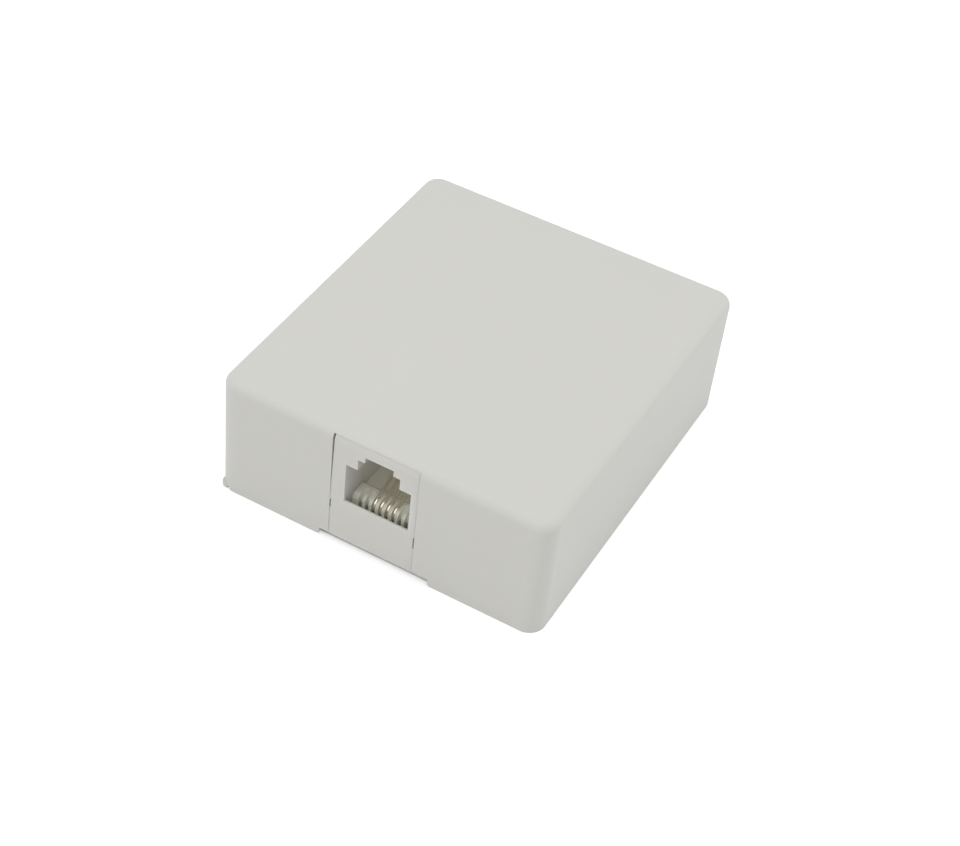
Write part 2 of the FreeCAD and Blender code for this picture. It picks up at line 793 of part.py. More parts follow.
def put(body, x, y, z, turn=0.0):
    """Stand a body at its place, turned about its own upright axis."""
    body.Placement.Rotation = FreeCAD.Rotation(FreeCAD.Vector(0, 0, 1), turn)
    for axis, distance in zip("xyz", (x, y, z)):
        body.setExpression(f"Placement.Base.{axis}", as_size(distance).formula)


def make_terminal_plate(name):
    body = new_body(f"terminal_plate_{name}")
    plate = new_sketch(body, "plate", "XY_Plane")
    centred_square(plate, (as_size(0), as_size(0)), size.plate_size)
    circle(plate, (0, 0), size.screw_radius + size.screw_fit)
    pad(body, plate, size.plate_thickness)
    round_edges(body, size.plate_corner, is_upright)
    put(body, *terminal_place(name), TERMINAL_LEVEL - size.plate_thickness)


def lug_turn(name):
    """The turn of a lug about its screw, which points its barrel back and inwards."""
    turn = size.front_lug_turn if name.startswith("front") else size.rear_lug_turn
    return terminal_side(name) * turn.value


def make_spade_lug(name):
    """A flat fork round the screw with a crimped barrel for the lead."""
    body = new_body(f"spade_lug_{name}")
    disc = new_sketch(body, "disc", "XY_Plane")
    pad(body, circle(disc, (0, 0), size.lug_radius), size.lug_thickness)
    neck = new_sketch(body, "neck", "XY_Plane")
    half_neck = size.lug_neck / 2
    rectangle(neck, -half_neck, half_neck, size.lug_radius / 2, size.barrel_start + size.barrel_length / 2)
    pad(body, neck, size.lug_thickness)
    axis = (0, size.barrel_radius)
    barrel = new_sketch(body, "barrel", "XZ_Plane", -size.barrel_start)
    pad(body, circle(barrel, axis, size.barrel_radius), size.barrel_length, forward=False)
    fork = new_sketch(body, "fork", "XY_Plane")
    half_slot = size.lug_slot / 2
    outline(fork, [
        (half_slot, 0), (-half_slot, 0),
        (-half_slot, -size.lug_radius - 1), (half_slot, -size.lug_radius - 1),
    ], arcs={0: ((0, 0), False)})
    pocket(body, fork, size.lug_thickness)
    bore = new_sketch(body, "bore", "XZ_Plane", -size.barrel_start)
    circle(bore, axis, size.lead_radius + size.lead_fit)
    pocket(body, bore, size.barrel_length, forward=False)
    put(body, *terminal_place(name), TERMINAL_LEVEL, lug_turn(name))


def revolve(body, profile):
    """Turn a sketch about the upright axis through the body's origin."""
    feature = body.newObject("PartDesign::Revolution", f"{profile.Name}_Revolution")
    feature.Profile = profile
    feature.ReferenceAxis = (profile, ["V_Axis"])
    profile.Visibility = False


def make_terminal_washer(name):
    body = new_body(f"terminal_washer_{name}")
    bore = size.screw_radius + size.screw_fit
    ring = new_sketch(body, "ring", "XZ_Plane")
    outline(ring, [
        (bore, 0), (size.washer_radius, 0), (size.washer_radius, size.washer_thickness - size.washer_bevel),
        (size.washer_radius - size.washer_bevel, size.washer_thickness), (bore, size.washer_thickness),
    ])
    revolve(body, ring)
    put(body, *terminal_place(name), TERMINAL_LEVEL + size.lug_thickness)


def make_terminal_screw(name):
    """A cheese head screw with a straight slot; its thread is a plain shaft."""
    body = new_body(f"terminal_screw_{name}")
    profile = new_sketch(body, "profile", "XZ_Plane")
    outline(profile, [
        (0, -size.screw_length), (size.screw_radius - size.screw_point, -size.screw_length),
        (size.screw_radius, size.screw_point - size.screw_length), (size.screw_radius, 0),
        (size.head_radius, 0), (size.head_radius, size.head_height - size.head_bevel),
        (size.head_radius - size.head_bevel, size.head_height), (0, size.head_height),
    ])
    revolve(body, profile)
    slot = new_sketch(body, "slot", "XY_Plane", size.head_height - size.slot_depth)
    half = size.slot_width / 2
    rectangle(slot, -size.head_radius - 1, size.head_radius + 1, -half, half)
    pocket(body, slot, size.slot_depth + 1)
    put(body, *terminal_place(name), SCREW_SEAT, size.screw_turn.value)


# Leads: straight runs joined by arcs, from the joint under the carrier into a lug's barrel

def barrel_point(name, distance):
    """A point on the axis of a lug's barrel, at a distance from the screw."""
    x, y = terminal_place(name)
    turn = math.radians(lug_turn(name))
    height = TERMINAL_LEVEL.value + size.barrel_radius.value
    return FreeCAD.Vector(x.value - distance * math.sin(turn), y.value + distance * math.cos(turn), height)


def route_point(start, side, aside, beyond, rise):
    """A point to one side of the centre plane, beyond the joint and above it."""
    return FreeCAD.Vector(side * aside.value, start.y + beyond.value, start.z + rise.value)


def lead_points(number, name):
    side = terminal_side(name)
    start = FreeCAD.Vector(wire_place(number).value, WIRE_JOINT.value, WIRE_LEVEL.value)
    grip = size.barrel_start.value + size.barrel_length.value - size.lead_grip.value
    end = barrel_point(name, grip)
    if name.startswith("front"):
        lift = TERMINAL_LEVEL + size.barrel_radius - WIRE_LEVEL
        between = [
            start + FreeCAD.Vector(0, size.front_lead_run.value, 0),
            route_point(start, side, size.front_knee_aside, size.front_knee_beyond, size.front_knee_rise),
            route_point(start, side, size.front_crest_aside, size.front_crest_beyond, lift),
            barrel_point(name, grip + size.front_lead_reach.value),
        ]
    else:
        inwards = (TERMINAL_X - size.rear_lead_pass) / sine(size.rear_lug_turn)
        between = [
            start + FreeCAD.Vector(0, size.rear_lead_run.value, 0),
            route_point(start, side, size.rear_knee_aside, size.rear_knee_beyond, size.rear_knee_rise),
            barrel_point(name, inwards.value),
        ]
    return [start, *between, end]


def rounded_path(points):
    """Straight runs joined by tangent arcs that reach 0.45 of the shorter run."""
    edges, last = [], points[0]
    for before, corner, after in zip(points, points[1:], points[2:]):
        reach = 0.45 * min((corner - before).Length, (after - corner).Length)
        back = (before - corner).normalize()
        ahead = (after - corner).normalize()
        start, end = corner + back * reach, corner + ahead * reach
        half_turn = (math.pi - back.getAngle(ahead)) / 2
        radius = reach / math.tan(half_turn)
        middle = corner + (back + ahead).normalize() * (radius / math.cos(half_turn) - radius)
        edges += [Part.LineSegment(last, start).toShape(), Part.Arc(start, middle, end).toShape()]
        last = end
    edges.append(Part.LineSegment(last, points[-1]).toShape())
    return Part.Wire(edges)


def make_lead(number, colour, name):
    points = lead_points(number, name)
    path = rounded_path(points)
    section = Part.Wire(Part.Circle(points[0], points[1] - points[0], size.lead_radius.value).toShape())
    tube = path.makePipeShell([section], True, False)
    lead = doc.addObject("Part::Feature", f"lead_{colour}")
    lead.Label = f"lead_{colour}"
    lead.Shape = tube
    wanted = math.pi * size.lead_radius.value ** 2 * path.Length
    assert abs(tube.Volume / wanted - 1) < 0.01, lead.Label
    tightest = min(edge.Curve.Radius for edge in path.Edges if isinstance(edge.Curve, Part.Circle))
    print(f"{lead.Label}: {path.Length:.1f} mm long, tightest bend {tightest:.1f} mm")
    return lead


def check(document):
    """Stop at a failed feature, a shape that is not valid or a cut that removed nothing."""
    for item in document.Objects:
        if {"Invalid", "Error"} & set(item.State):
            raise RuntimeError(f"{item.Label} failed: {item.State}")
        if item.isDerivedFrom("PartDesign::Pocket"):
            before = item.BaseFeature.Shape.Volume
            if item.Shape.Volume > before - 1e-6:
                raise RuntimeError(f"{item.Label} cuts nothing")


def export(pieces):
    os.makedirs("parts", exist_ok=True)
    for piece in pieces:
        shape = piece.Shape
        if shape.isNull() or not shape.isValid() or len(shape.Solids) != 1:
            raise RuntimeError(f"{piece.Label} is not one valid solid")
        shape.exportStep(f"parts/{piece.Label}.step")
        box = shape.BoundBox
        spans = ", ".join(f"{low:.2f}..{high:.2f}" for low, high in (
            (box.XMin, box.XMax), (box.YMin, box.YMax), (box.ZMin, box.ZMax)))
        print(f"{piece.Label}: {shape.Volume:.1f} mm3, {spans}")


make_cover()
make_base_plate()
make_jack_housing()
make_contact_carrier()
for wire in range(1, 5):
    make_contact_wire(wire)
for terminal in TERMINALS:
    make_terminal_plate(terminal)
    make_spade_lug(terminal)
    make_terminal_washer(terminal)
    make_terminal_screw(terminal)
pairs = zip(LEADS, TERMINALS)
leads = [make_lead(wire, colour, terminal) for wire, (colour, terminal) in enumerate(pairs, 1)]
doc.recompute()
check(doc)
bodies = [item for item in doc.Objects if item.isDerivedFrom("PartDesign::Body")]
export(bodies + leads)
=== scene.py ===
# %% [markdown]
# # A surface mount jack box
#
# A small flat box that is screwed to a wall or a skirting board. A cover with rounded edges drops
# over a base plate, and a jack for a modular plug stands flush in a slot of the cover's front
# wall. Under the cover are four screw terminals for the conductors of the building's cable.
#
# The solids come ready made from the construction model, in metres, with the origin at the centre
# of the footprint, +Z up and the jack towards -Y. This lesson dresses them: it gives each piece
# its finish, adds the details that are too fine for the solids, and sets up the light and the
# camera.

# %% Load the frame
import math

import bpy
from mathutils import Matrix, Vector


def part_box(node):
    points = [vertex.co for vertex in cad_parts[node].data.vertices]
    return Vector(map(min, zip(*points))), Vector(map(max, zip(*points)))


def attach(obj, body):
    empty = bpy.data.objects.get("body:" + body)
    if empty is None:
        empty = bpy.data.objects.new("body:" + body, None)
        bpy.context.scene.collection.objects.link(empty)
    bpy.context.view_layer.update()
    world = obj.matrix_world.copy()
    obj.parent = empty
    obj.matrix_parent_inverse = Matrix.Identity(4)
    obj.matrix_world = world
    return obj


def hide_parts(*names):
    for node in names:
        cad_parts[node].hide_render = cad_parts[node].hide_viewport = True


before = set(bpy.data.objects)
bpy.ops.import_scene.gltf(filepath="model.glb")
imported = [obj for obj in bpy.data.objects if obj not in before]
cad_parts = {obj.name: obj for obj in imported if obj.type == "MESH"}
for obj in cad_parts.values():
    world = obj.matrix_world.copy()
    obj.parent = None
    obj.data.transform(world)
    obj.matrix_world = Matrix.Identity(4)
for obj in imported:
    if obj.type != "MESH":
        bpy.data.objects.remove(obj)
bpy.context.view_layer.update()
MM = 0.001
cover_low, cover_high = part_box("cover")
width, depth, height = cover_high - cover_low
print(f"{len(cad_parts)} solids")
print(f"box {width / MM:.1f} x {depth / MM:.1f} x {height / MM:.1f} mm")

# %% [markdown]
# ## Finishes as expressions
#
# Blender builds a material from nodes joined by links. Placing them by hand is slow to read back,
# so two small classes turn a material into ordinary Python. `Field` stands for a number that
# changes over a surface: adding or multiplying two fields adds a Math node. `Finish` is one
# material: its `node` method makes any other node from its type, its settings and the values of
# its sockets.

# %% A number that changes over a surface
class Field:
    """A number that changes over the surface; arithmetic on it adds Math nodes."""

    def __init__(self, finish, socket):
        self.finish = finish
        self.socket = socket

    def math(self, operation, first, second):
        made = self.finish.node("ShaderNodeMath", {"operation": operation}, {0: first, 1: second})
        return Field(self.finish, made.outputs[0])

    def __add__(self, other):
        return self.math("ADD", self, other)

    def __radd__(self, other):
        return self.math("ADD", other, self)

    def __sub__(self, other):
        return self.math("SUBTRACT", self, other)

    def __rsub__(self, other):
        return self.math("SUBTRACT", other, self)

    def __mul__(self, other):
        return self.math("MULTIPLY", self, other)

    def __rmul__(self, other):
        return self.math("MULTIPLY", other, self)

    def __pow__(self, other):
        return self.math("POWER", self, other)

    def __abs__(self):
        return self.math("ABSOLUTE", self, 0.0)


print("a field takes + - * ** and abs()")


# %% A material
class Finish:
    """One material, its shader and the nodes that feed it."""

    def __init__(self, name):
        self.material = bpy.data.materials.new(name)
        self.material.use_nodes = True
        self.tree = self.material.node_tree
        self.shader = self.tree.nodes["Principled BSDF"]

    def feed(self, socket, value):
        """Link a field or another socket, or set a plain number on the socket itself."""
        if isinstance(value, Field):
            value = value.socket
        if isinstance(value, bpy.types.NodeSocket):
            self.tree.links.new(value, socket)
        else:
            socket.default_value = value

    def node(self, kind, settings=None, sockets=None):
        made = self.tree.nodes.new(kind)
        for name, value in (settings or {}).items():
            setattr(made, name, value)
        for name, value in (sockets or {}).items():
            self.feed(made.inputs[name], value)
        return made

    def set(self, **values):
        for name, value in values.items():
            self.feed(self.shader.inputs[name.replace("_", " ")], value)

    def place(self, stretch):
        """The place on the piece, in metres, stretched along its axes."""
        spot = self.node("ShaderNodeTexCoord").outputs["Object"]
        return self.node("ShaderNodeMapping", {}, {"Vector": spot, "Scale": stretch}).outputs[0]

    def along(self, axis):
        """The place on the piece along one axis, in metres."""
        spot = self.node("ShaderNodeTexCoord").outputs["Object"]
        return Field(self, self.node("ShaderNodeSeparateXYZ", {}, {0: spot}).outputs[axis])

    def ramp(self, value, start, end):
        """From 0 to 1, gently, as a number goes from start to end."""
        made = self.node("ShaderNodeMapRange", {"interpolation_type": "SMOOTHSTEP"}, {
            "Value": value, "From Min": start, "From Max": end})
        return Field(self, made.outputs[0])

    def noise(self, size, detail=2.0, stretch=(1, 1, 1)):
        """Soft random patches of a given size in metres, from 0 to 1."""
        made = self.node("ShaderNodeTexNoise", {}, {
            "Vector": self.place(stretch), "Scale": 1 / size, "Detail": detail})
        return Field(self, made.outputs["Fac"])

    def blend(self, amount, first, second):
        """One colour going over into another."""
        made = self.node("ShaderNodeMix", {"data_type": "RGBA"}, {0: amount, 6: first, 7: second})
        return made.outputs[2]

    def bump(self, relief, deep):
        """Relief of a given depth in metres that tilts the light and not the mesh."""
        made = self.node("ShaderNodeBump", {}, {
            "Height": relief, "Distance": deep, "Strength": 1.0})
        self.feed(self.shader.inputs["Normal"], made.outputs[0])

    def looked_at(self):
        """1 to the camera and to what is mirrored or seen through glass, 0 to the light."""
        rays = self.node("ShaderNodeLightPath").outputs
        looks = Field(self, rays["Is Camera Ray"]) + Field(self, rays["Is Glossy Ray"])
        return looks + Field(self, rays["Is Transmission Ray"])


def rgba(red, green, blue):
    return (red, green, blue, 1.0)


print("a finish makes noise, ramps, blends and bumps")

# %% [markdown]
# ## The moulded plastic
#
# The cover, the base and the jack are moulded in one pale grey plastic with a satin skin. One
# colour and one gloss would do from far away, but up close such a skin isn't even: the steel of
# the mould leaves a fine grain, the melt cools unevenly, so the gloss and the tone drift over a
# centimetre or two, and handling adds faint hairlines. Each of them is a noise of its own size,
# so that no two of them line up.
#
# The walls of the jack are about a millimetre thin and let some light through, so its inside is
# never black. Real scattering through a wall takes very long to render well. So the inner
# plastics scatter a little under their skin, which is `glow`. They also give off a very faint
# light of their own, which is `lit`: painted light, a glow that stands in for the light
# through the walls. It starts a few millimetres behind the front, and the front itself stays as it
# is.

# %% Moulded plastic
DRIFT_SIZE, SPECKLE_SIZE, HAIRLINE_SIZE, GRAIN_SIZE = 18 * MM, 0.6 * MM, 0.4 * MM, 0.22 * MM
GRAIN_DEPTH = 0.012 * MM
SCATTER_DEPTH = 1.2 * MM
# Where the painted light inside the jack begins and where it is full, and its warm colour.
PAINTED_LIGHT_FROM, PAINTED_LIGHT_FULL = cover_low.y + 2.5 * MM, cover_low.y + 8 * MM
BLACK, PAINTED_WALL_LIGHT = rgba(0, 0, 0), rgba(1.0, 0.98, 0.84)


def moulded_plastic(name, colour, shade, gloss=0.50, glow=0.0, lit=0.0):
    finish = Finish(name)
    drift = finish.noise(DRIFT_SIZE, detail=3)
    speckle = finish.noise(SPECKLE_SIZE, detail=1)
    hairline = finish.noise(HAIRLINE_SIZE, stretch=(0.04, 1, 1)) ** 3.0
    finish.set(Base_Color=finish.blend(0.8 * drift + 0.2 * speckle, rgba(*colour), rgba(*shade)))
    finish.set(Roughness=gloss - 0.05 + 0.10 * drift + 0.06 * hairline, Specular_IOR_Level=0.3)
    finish.bump(finish.noise(GRAIN_SIZE) + 0.35 * hairline, GRAIN_DEPTH)
    finish.set(Subsurface_Weight=glow, Subsurface_Radius=(1.0, 0.95, 0.85))
    finish.set(Subsurface_Scale=SCATTER_DEPTH)
    # Painted light: from a few millimetres behind the front the plastic glows faintly warm, in
    # place of light through the walls.
    if lit:
        inside = finish.ramp(finish.along("Y"), PAINTED_LIGHT_FROM, PAINTED_LIGHT_FULL)
        finish.set(Emission_Color=finish.blend(inside, BLACK, PAINTED_WALL_LIGHT))
        finish.set(Emission_Strength=lit)
    print(f"{name}: roughness about {gloss:.2f}, glow {glow}, lit {lit}")
    return finish.material


print(f"moulded plastic with a grain {GRAIN_DEPTH / MM:.3f} mm deep")


# %% The four plastics
PALE = (0.640, 0.636, 0.605)
cover_plastic = moulded_plastic("satin_cover_plastic", PALE, (0.624, 0.620, 0.588))
base_plastic = moulded_plastic("satin_base_plastic", PALE, (0.614, 0.610, 0.578), gloss=0.46)
# The jack and the carrier glow faintly inside: painted light.
jack_plastic = moulded_plastic(
    "satin_jack_plastic", (0.650, 0.644, 0.612), (0.635, 0.629, 0.597), glow=0.6, lit=0.035)
carrier_plastic = moulded_plastic(
    "satin_carrier_plastic", (0.90, 0.89, 0.78), (0.87, 0.86, 0.75), glow=0.35, lit=0.030)

# %% [markdown]
# ## The drawn and rolled metals
#
# The contact wires are drawn and gold plated, and the lugs and plates are stamped from rolled
# brass. A metal has no colour of its own under the reflection, so what tells one from another is
# the tint and how the surface was worked: drawing leaves lines along the wire, and rolling leaves
# lines along the sheet. Single scratches could be modelled, but there are thousands of them, so a
# noise that is stretched along the lines stands for them all.

# %% Worked metal
WEAR_SIZE, LINE_SIZE = 1.6 * MM, 0.12 * MM


def worked_metal(name, tint, dull, gloss, stretch, deep=0.004 * MM):
    """Drawn or rolled metal; the pattern is stretched along the axis with the small number."""
    finish = Finish(name)
    worn = finish.noise(WEAR_SIZE, detail=3)
    line = finish.noise(LINE_SIZE, stretch=stretch)
    finish.set(Metallic=1.0, Base_Color=finish.blend(worn, rgba(*tint), rgba(*dull)))
    finish.set(Roughness=gloss + 0.12 * worn + 0.10 * line)
    finish.bump(line, deep)
    print(f"{name}: roughness from {gloss:.2f}")
    return finish.material


contact_gold = worked_metal(
    "drawn_gold", (0.94, 0.88, 0.74), (0.86, 0.78, 0.62), 0.18, (1, 0.05, 1), 0.001 * MM)
tinned_brass = worked_metal(
    "tinned_brass", (0.78, 0.76, 0.70), (0.70, 0.66, 0.56), 0.28, (1, 0.08, 1))
terminal_brass = worked_metal(
    "stamped_brass", (0.80, 0.62, 0.32), (0.70, 0.52, 0.26), 0.26, (0.08, 1, 1))
strand_copper = worked_metal(
    "tinned_copper", (0.86, 0.70, 0.58), (0.80, 0.58, 0.44), 0.22, (1, 1, 0.2))

# %% [markdown]
# ## The turned metal
#
# Screws and washers are nickel plated steel. The lathe leaves fine rings round the axis, and they
# draw the highlight out into two fans. One material for each screw would give each its own
# centre. One material does for all when it is told where the four axes stand: they form a
# rectangle, so the distance to the nearest axis follows from the sizes of X and Y alone.

# %% Where the screws stand
def middle_of(node):
    low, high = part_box(node)
    return (low + high) / 2


front_screw = middle_of("terminal_washer_front_right")
rear_screw = middle_of("terminal_washer_rear_right")
row_middle = (front_screw.y + rear_screw.y) / 2
row_half = (rear_screw.y - front_screw.y) / 2
print(f"screws {front_screw.x / MM:.1f} mm from the middle, {2 * row_half / MM:.1f} mm apart")


# %% Turned metal
RINGS_PER_METRE = 14000.0
RING_DEPTH = 0.006 * MM


def turned_metal(name, tint, dull, gloss):
    """Steel off a lathe, with fine rings round whichever of the four screw axes is the nearest."""
    finish = Finish(name)
    aside = abs(finish.along("X")) - front_screw.x
    ahead = abs(finish.along("Y") - row_middle) - row_half
    radius = (aside * aside + ahead * ahead) ** 0.5
    rings = finish.node("ShaderNodeTexNoise", {"noise_dimensions": "1D"}, {
        "W": radius, "Scale": RINGS_PER_METRE})
    ring = Field(finish, rings.outputs["Fac"])
    worn = finish.noise(WEAR_SIZE, detail=3)
    finish.set(Metallic=1.0, Base_Color=finish.blend(worn, rgba(*tint), rgba(*dull)))
    finish.set(Roughness=gloss + 0.10 * worn + 0.12 * ring)
    finish.bump(ring, RING_DEPTH)
    print(f"{name}: roughness from {gloss:.2f}")
    return finish.material


washer_steel = turned_metal("nickel_washer", (0.72, 0.71, 0.67), (0.64, 0.62, 0.58), 0.24)
screw_steel = turned_metal("nickel_screw", (0.74, 0.73, 0.69), (0.66, 0.64, 0.60), 0.20)

# %% [markdown]
# ## The insulation of the leads
#
# Four leads run from the contact wires to the terminals, in the usual four colours. Their skin is
# soft and smooth, and the twist of the strands under it shows as a slight waviness. That could be
# modelled as a displaced tube, but the waves are so flat that only the highlight shows them, and
# a bump is enough for that.

# %% Insulation in four colours
def insulation(name, colour, worn):
    finish = Finish(name)
    drift = finish.noise(4 * MM)
    finish.set(Base_Color=finish.blend(drift, rgba(*colour), rgba(*worn)))
    finish.set(Roughness=0.28 + 0.12 * drift)
    finish.bump(finish.noise(0.7 * MM, detail=1), 0.02 * MM)
    return finish.material


INSULATION = {
    "black": insulation("black_insulation", (0.012, 0.012, 0.013), (0.022, 0.021, 0.020)),
    "red": insulation("red_insulation", (0.42, 0.015, 0.012), (0.36, 0.020, 0.016)),
    "green": insulation("green_insulation", (0.010, 0.17, 0.040), (0.014, 0.14, 0.040)),
    "yellow": insulation("yellow_insulation", (0.72, 0.46, 0.020), (0.64, 0.42, 0.030)),
}
print("insulation:", ", ".join(INSULATION))

# %% [markdown]
# ## Each solid gets its finish
#
# The solids could be picked one by one, but the beginning of a solid's name already says what it
# is, so a short table of beginnings is enough for all of them.

# %% Give the solids their finishes
FINISHES = {
    "cover": cover_plastic,
    "base_plate": base_plastic,
    "jack_housing": jack_plastic,
    "contact_carrier": carrier_plastic,
    "contact_wire": contact_gold,
    "spade_lug": tinned_brass,
    "terminal_plate": terminal_brass,
    "terminal_washer": washer_steel,
    "terminal_screw": screw_steel,
}
FINISHES.update({f"lead_{colour}": material for colour, material in INSULATION.items()})
for name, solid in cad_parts.items():
    finish = next(material for start, material in FINISHES.items() if name.startswith(start))
    solid.data.materials.clear()
    solid.data.materials.append(finish)
print(f"{len(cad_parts)} solids have their finishes")

# %% [markdown]
# ## The leads
#
# Four short leads carry the line from the contact wires to the terminals. A lead is soft wire: it
# keeps its length, it can't turn sharply, and it leaves both ends straight. A chain of tubes
# would show its joints. A NURBS curve needs only a few points, because it starts and ends in line
# with its first and last run and rounds every corner between them. The same points steer the
# tubes of the construction model. The leads of the right half mirror those of the left.

# %% The leads
LEAD_WIDTH = 0.9 * MM
LEFT_ROUTES = {
    # name: (points in millimetres from the contact wire to the lug, length)
    "black": ([(-1.524, -12.25, 5.76), (-1.524, -5.5, 5.76), (-3.6, 2.25, 8.2), (-9.2, 3.25, 10.05),
               (-11.225, -2.254, 10.05), (-13.414, -8.268, 10.05)], 31.9),
    "red": ([(-0.508, -12.25, 5.76), (-0.508, -5.0, 5.76), (-0.6, 2.5, 7.8), (-0.95, 15.899, 10.05),
             (-9.608, 13.579, 10.05)], 35.2),
}
TWINS = {"black": "yellow", "red": "green"}


def make_lead(colour, route, length):
    """A round lead along a route, in place of the plain tube."""
    data = bpy.data.curves.new(f"{colour}_lead", "CURVE")
    data.dimensions = "3D"
    data.resolution_u = 16
    data.bevel_depth = LEAD_WIDTH / 2
    data.bevel_resolution = 5
    data.use_fill_caps = True
    spline = data.splines.new("NURBS")
    spline.points.add(len(route) - 1)
    for point, place in zip(spline.points, route):
        point.co = (*(c * MM for c in place), 1)
    spline.order_u = 3
    spline.use_endpoint_u = True
    lead = bpy.data.objects.new(f"{colour}_lead", data)
    bpy.context.scene.collection.objects.link(lead)
    data.materials.append(INSULATION[colour])
    start = [c * MM for c in route[0]]
    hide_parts(f"lead_{colour}")
    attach(lead, "base")
    print(f"{lead.name}: {length} mm")


for colour, (route, length) in LEFT_ROUTES.items():
    make_lead(colour, route, length)
    make_lead(TWINS[colour], [(-x, y, z) for x, y, z in route], length)

# %% [markdown]
# ## The terminal screws
#
# The screws are the pieces that a hand turns, so they get the thread and the slot that the plain
# solids leave out. All four are alike, so one is modelled at the origin, with the underside of
# its head at height 0, and copied to the four corners. Its sizes come from the solids.

# %% The sizes of a screw
CORNERS = ["front_left", "rear_left", "rear_right", "front_right"]
HEAD_INSIDE_WASHER = 0.4 * MM
THREAD_RADIUS = 1.75 * MM
PITCH = 0.79375 * MM
screw_low, screw_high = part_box("terminal_screw_front_left")
washer_low, washer_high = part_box("terminal_washer_front_left")
washer_top = washer_high.z
head_radius = (washer_high.x - washer_low.x) / 2 - HEAD_INSIDE_WASHER
head_height = screw_high.z - washer_top
thread_length = washer_top - screw_low.z
print(f"head {2 * head_radius / MM:.1f} mm wide, {head_height / MM:.1f} mm high")
print(f"thread {thread_length / MM:.1f} mm long, {THREAD_RADIUS * 2 / MM:.1f} mm wide")

# %% [markdown]
# ## Small tools for modelling
#
# An operator acts on all that is selected, so everything is deselected before a new piece is
# added. A profile is drawn point by point, as with the extrude key: a plane is shrunk to one
# point, and each extrusion draws the line on by one step.

# %% Selecting and drawing
def deselect():
    bpy.ops.object.select_all(action="DESELECT")


def start_line(x, z):
    """A mesh of one point in edit mode: a plane shrunk to its centre and moved."""
    deselect()
    bpy.ops.mesh.primitive_plane_add(size=MM)
    bpy.ops.object.mode_set(mode="EDIT")
    bpy.ops.mesh.select_mode(type="VERT")
    bpy.ops.mesh.select_all(action="SELECT")
    bpy.ops.mesh.merge(type="CENTER")
    bpy.ops.transform.translate(value=(x, 0, z))


def draw_on(x, z):
    """Draw the line on by a step."""
    bpy.ops.mesh.extrude_region_move(TRANSFORM_OT_translate={"value": (x, 0, z)})


def select_edges(piece, wanted):
    """Select in edit mode the edges whose two ends pass a test."""
    bpy.ops.mesh.select_mode(type="EDGE")
    bpy.ops.mesh.select_all(action="DESELECT")
    bpy.ops.object.mode_set(mode="OBJECT")
    points = [vertex.co for vertex in piece.data.vertices]
    for edge in piece.data.edges:
        edge.select = all(wanted(points[end]) for end in edge.vertices)
    bpy.ops.object.mode_set(mode="EDIT")


print("tools: deselect, start_line, draw_on, select_edges")


# %% Cutting and modifying
def cut_flat(height, **side):
    """Cut the mesh in edit mode flat at a height; a side that is cleared can be closed."""
    bpy.ops.mesh.select_all(action="SELECT")
    bpy.ops.mesh.bisect(
        plane_co=(0, 0, height), plane_no=(0, 0, 1), threshold=1e-8, **side)


def apply_modifier(piece, kind, **settings):
    modifier = piece.modifiers.new(kind.lower(), kind)
    for name, value in settings.items():
        setattr(modifier, name, value)
    bpy.ops.object.modifier_apply(modifier=modifier.name)


def soften(degrees):
    """Smooth shading, with an edge left where two faces meet at more than an angle."""
    bpy.ops.object.shade_smooth_by_angle(angle=math.radians(degrees))


print("tools: cut_flat, apply_modifier, soften")

# %% [markdown]
# ## The head
#
# A cheese head has a straight side, a rounded crown and a slot for the driver. It could be spun
# from a profile, but a cylinder whose upper edge is bevelled is the same shape with less work. A
# bar cuts the slot across it, and a very small bevel then takes the sharpness off the slot's
# edges, because an edge without one never catches the light.

# %% The head and its slot
HEAD_SIDES = 72
CROWN = 0.6 * MM
SLOT_WIDTH, SLOT_DEPTH = 0.9 * MM, 1.1 * MM
SLOT_EDGE = 0.06 * MM


def make_slot_bar():
    """A bar across the top of the head, as wide as the slot and twice as high as it is deep."""
    deselect()
    bpy.ops.mesh.primitive_cube_add(size=1, location=(0, 0, head_height))
    bar = bpy.context.object
    bar.scale = (4 * head_radius, SLOT_WIDTH, 2 * SLOT_DEPTH)
    bpy.ops.object.transform_apply()
    return bar


def make_head():
    """A cheese head: a cylinder with a rounded crown, a slot across it and softened edges."""
    deselect()
    bpy.ops.mesh.primitive_cylinder_add(
        vertices=HEAD_SIDES, radius=head_radius, depth=head_height,
        location=(0, 0, head_height / 2))
    head = bpy.context.object
    bpy.ops.object.transform_apply()
    bpy.ops.object.mode_set(mode="EDIT")
    select_edges(head, lambda point: point.z > 0.99 * head_height)
    bpy.ops.mesh.bevel(offset=CROWN, segments=5)
    bpy.ops.object.mode_set(mode="OBJECT")
    bar = make_slot_bar()
    deselect()
    head.select_set(True)
    bpy.context.view_layer.objects.active = head
    apply_modifier(head, "BOOLEAN", object=bar, solver="EXACT")
    apply_modifier(head, "BEVEL", width=SLOT_EDGE, segments=2, limit_method="ANGLE",
                   angle_limit=math.radians(50))
    bpy.data.objects.remove(bar)
    soften(30)
    print(f"head: {len(head.data.polygons)} faces")
    return head


print(f"crown rounded by {CROWN / MM:.1f} mm, slot {SLOT_DEPTH / MM:.1f} mm deep")

# %% [markdown]
# ## The thread
#
# A thread is one tooth swept along a screw line. Stacked rings would look alike from afar, but
# they wouldn't run on when the screw turns. The Screw modifier turns the tooth's profile about
# the axis and lifts it by the pitch on each turn, and the turns meet edge to edge. Two flat cuts
# trim the thread and close it: the upper one hides inside the head, and the lower one is drawn in
# to a tip.

# %% The thread
TOOTH = 0.40 * MM
FLANK, CREST = 0.42 * PITCH, 0.16 * PITCH
STEPS_PER_TURN = 28
SPARE_TURNS = 4
TIP_SHARE = 0.72


